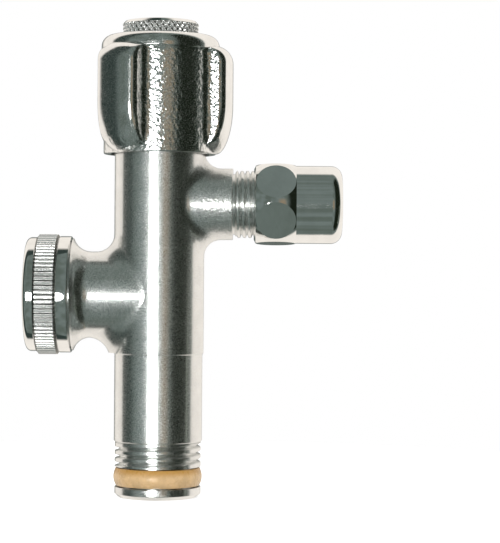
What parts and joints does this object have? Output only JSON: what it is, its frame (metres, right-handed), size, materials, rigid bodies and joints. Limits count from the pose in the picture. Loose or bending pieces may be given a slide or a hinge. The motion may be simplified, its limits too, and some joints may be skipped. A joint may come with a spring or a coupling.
{
  "type": "shut-off valve",
  "caption": "Chrome angle shut-off valve with a lobed handle and vacuum breaker cap, a hose union nut with check valve on one side and a compression outlet on the other.",
  "frame": {"origin": "centre of the inlet's end face, on the main axis", "axes": "+Z along the main axis from the inlet to the handle, +X along the compression outlet, -X along the hose outlet, camera on the -Y side"},
  "size_m": [0.0764, 0.0342, 0.1156],
  "materials": {
    "chrome": "polished",
    "brass": "machined",
    "spring_steel": "plain",
    "black_rubber": "matte",
    "brown_seal": "matte",
    "white_plastic": "matte"
  },
  "bodies": {
    "valve": {"valve_body": "chrome", "inlet_seal_ring": "brown_seal", "bonnet": "brass", "bonnet_seal_ring": "brown_seal", "check_valve_housing": "white_plastic", "check_valve_seal_ring": "black_rubber", "check_valve_spring": "spring_steel", "check_valve_guide": "white_plastic", "compression_ring": "brass"},
    "handle_group": {"handle": "chrome", "spindle": "brass", "spindle_o_ring_lower": "black_rubber", "spindle_o_ring_upper": "black_rubber", "spindle_circlip": "spring_steel", "breaker_housing": "brass", "breaker_seal_ring": "black_rubber", "breaker_seat": "white_plastic"},
    "plunger_group": {"valve_plunger": "brass", "seat_washer": "black_rubber", "seat_washer_screw": "spring_steel"},
    "float_group": {"breaker_float": "white_plastic", "breaker_float_washer": "black_rubber"},
    "cap_group": {"breaker_cap": "chrome"},
    "poppet_group": {"check_valve_poppet": "white_plastic", "check_valve_washer": "black_rubber"},
    "union_nut_group": {"union_nut": "chrome"},
    "compression_nut_group": {"compression_nut": "chrome"}
  },
  "joints": [
    {"name": "handle_turn", "type": "hinge", "parent": "valve", "child": "handle_group", "pos_m": [0, 0, 0.1], "axis": [0, 0, 1], "range_deg": [0, 900]},
    {"name": "plunger_lift", "type": "slide", "parent": "valve", "child": "plunger_group", "axis": [0, 0, 1], "range_m": [0, 0.005]},
    {"name": "breaker_float_lift", "type": "slide", "parent": "handle_group", "child": "float_group", "axis": [0, 0, 1], "range_m": [0, 0.0015]},
    {"name": "breaker_cap_turn", "type": "hinge", "parent": "handle_group", "child": "cap_group", "pos_m": [0, 0, 0.1125], "axis": [0, 0, 1], "continuous": true},
    {"name": "check_poppet_open", "type": "slide", "parent": "valve", "child": "poppet_group", "axis": [-1, 0, 0], "range_m": [0, 0.003], "stiffness_N_per_m": 60, "springref_m": -0.004, "deforming": ["check_valve_spring"]},
    {"name": "union_nut_turn", "type": "hinge", "parent": "valve", "child": "union_nut_group", "pos_m": [-0.026, 0, 0.0491], "axis": [-1, 0, 0], "continuous": true},
    {"name": "compression_nut_turn", "type": "hinge", "parent": "valve", "child": "compression_nut_group", "pos_m": [0.033, 0, 0.0713], "axis": [1, 0, 0], "continuous": true}
  ],
  "couplings": [
    {"joint": "plunger_lift", "follows": "handle_turn", "m_per_rad": 0.000318}
  ]
}
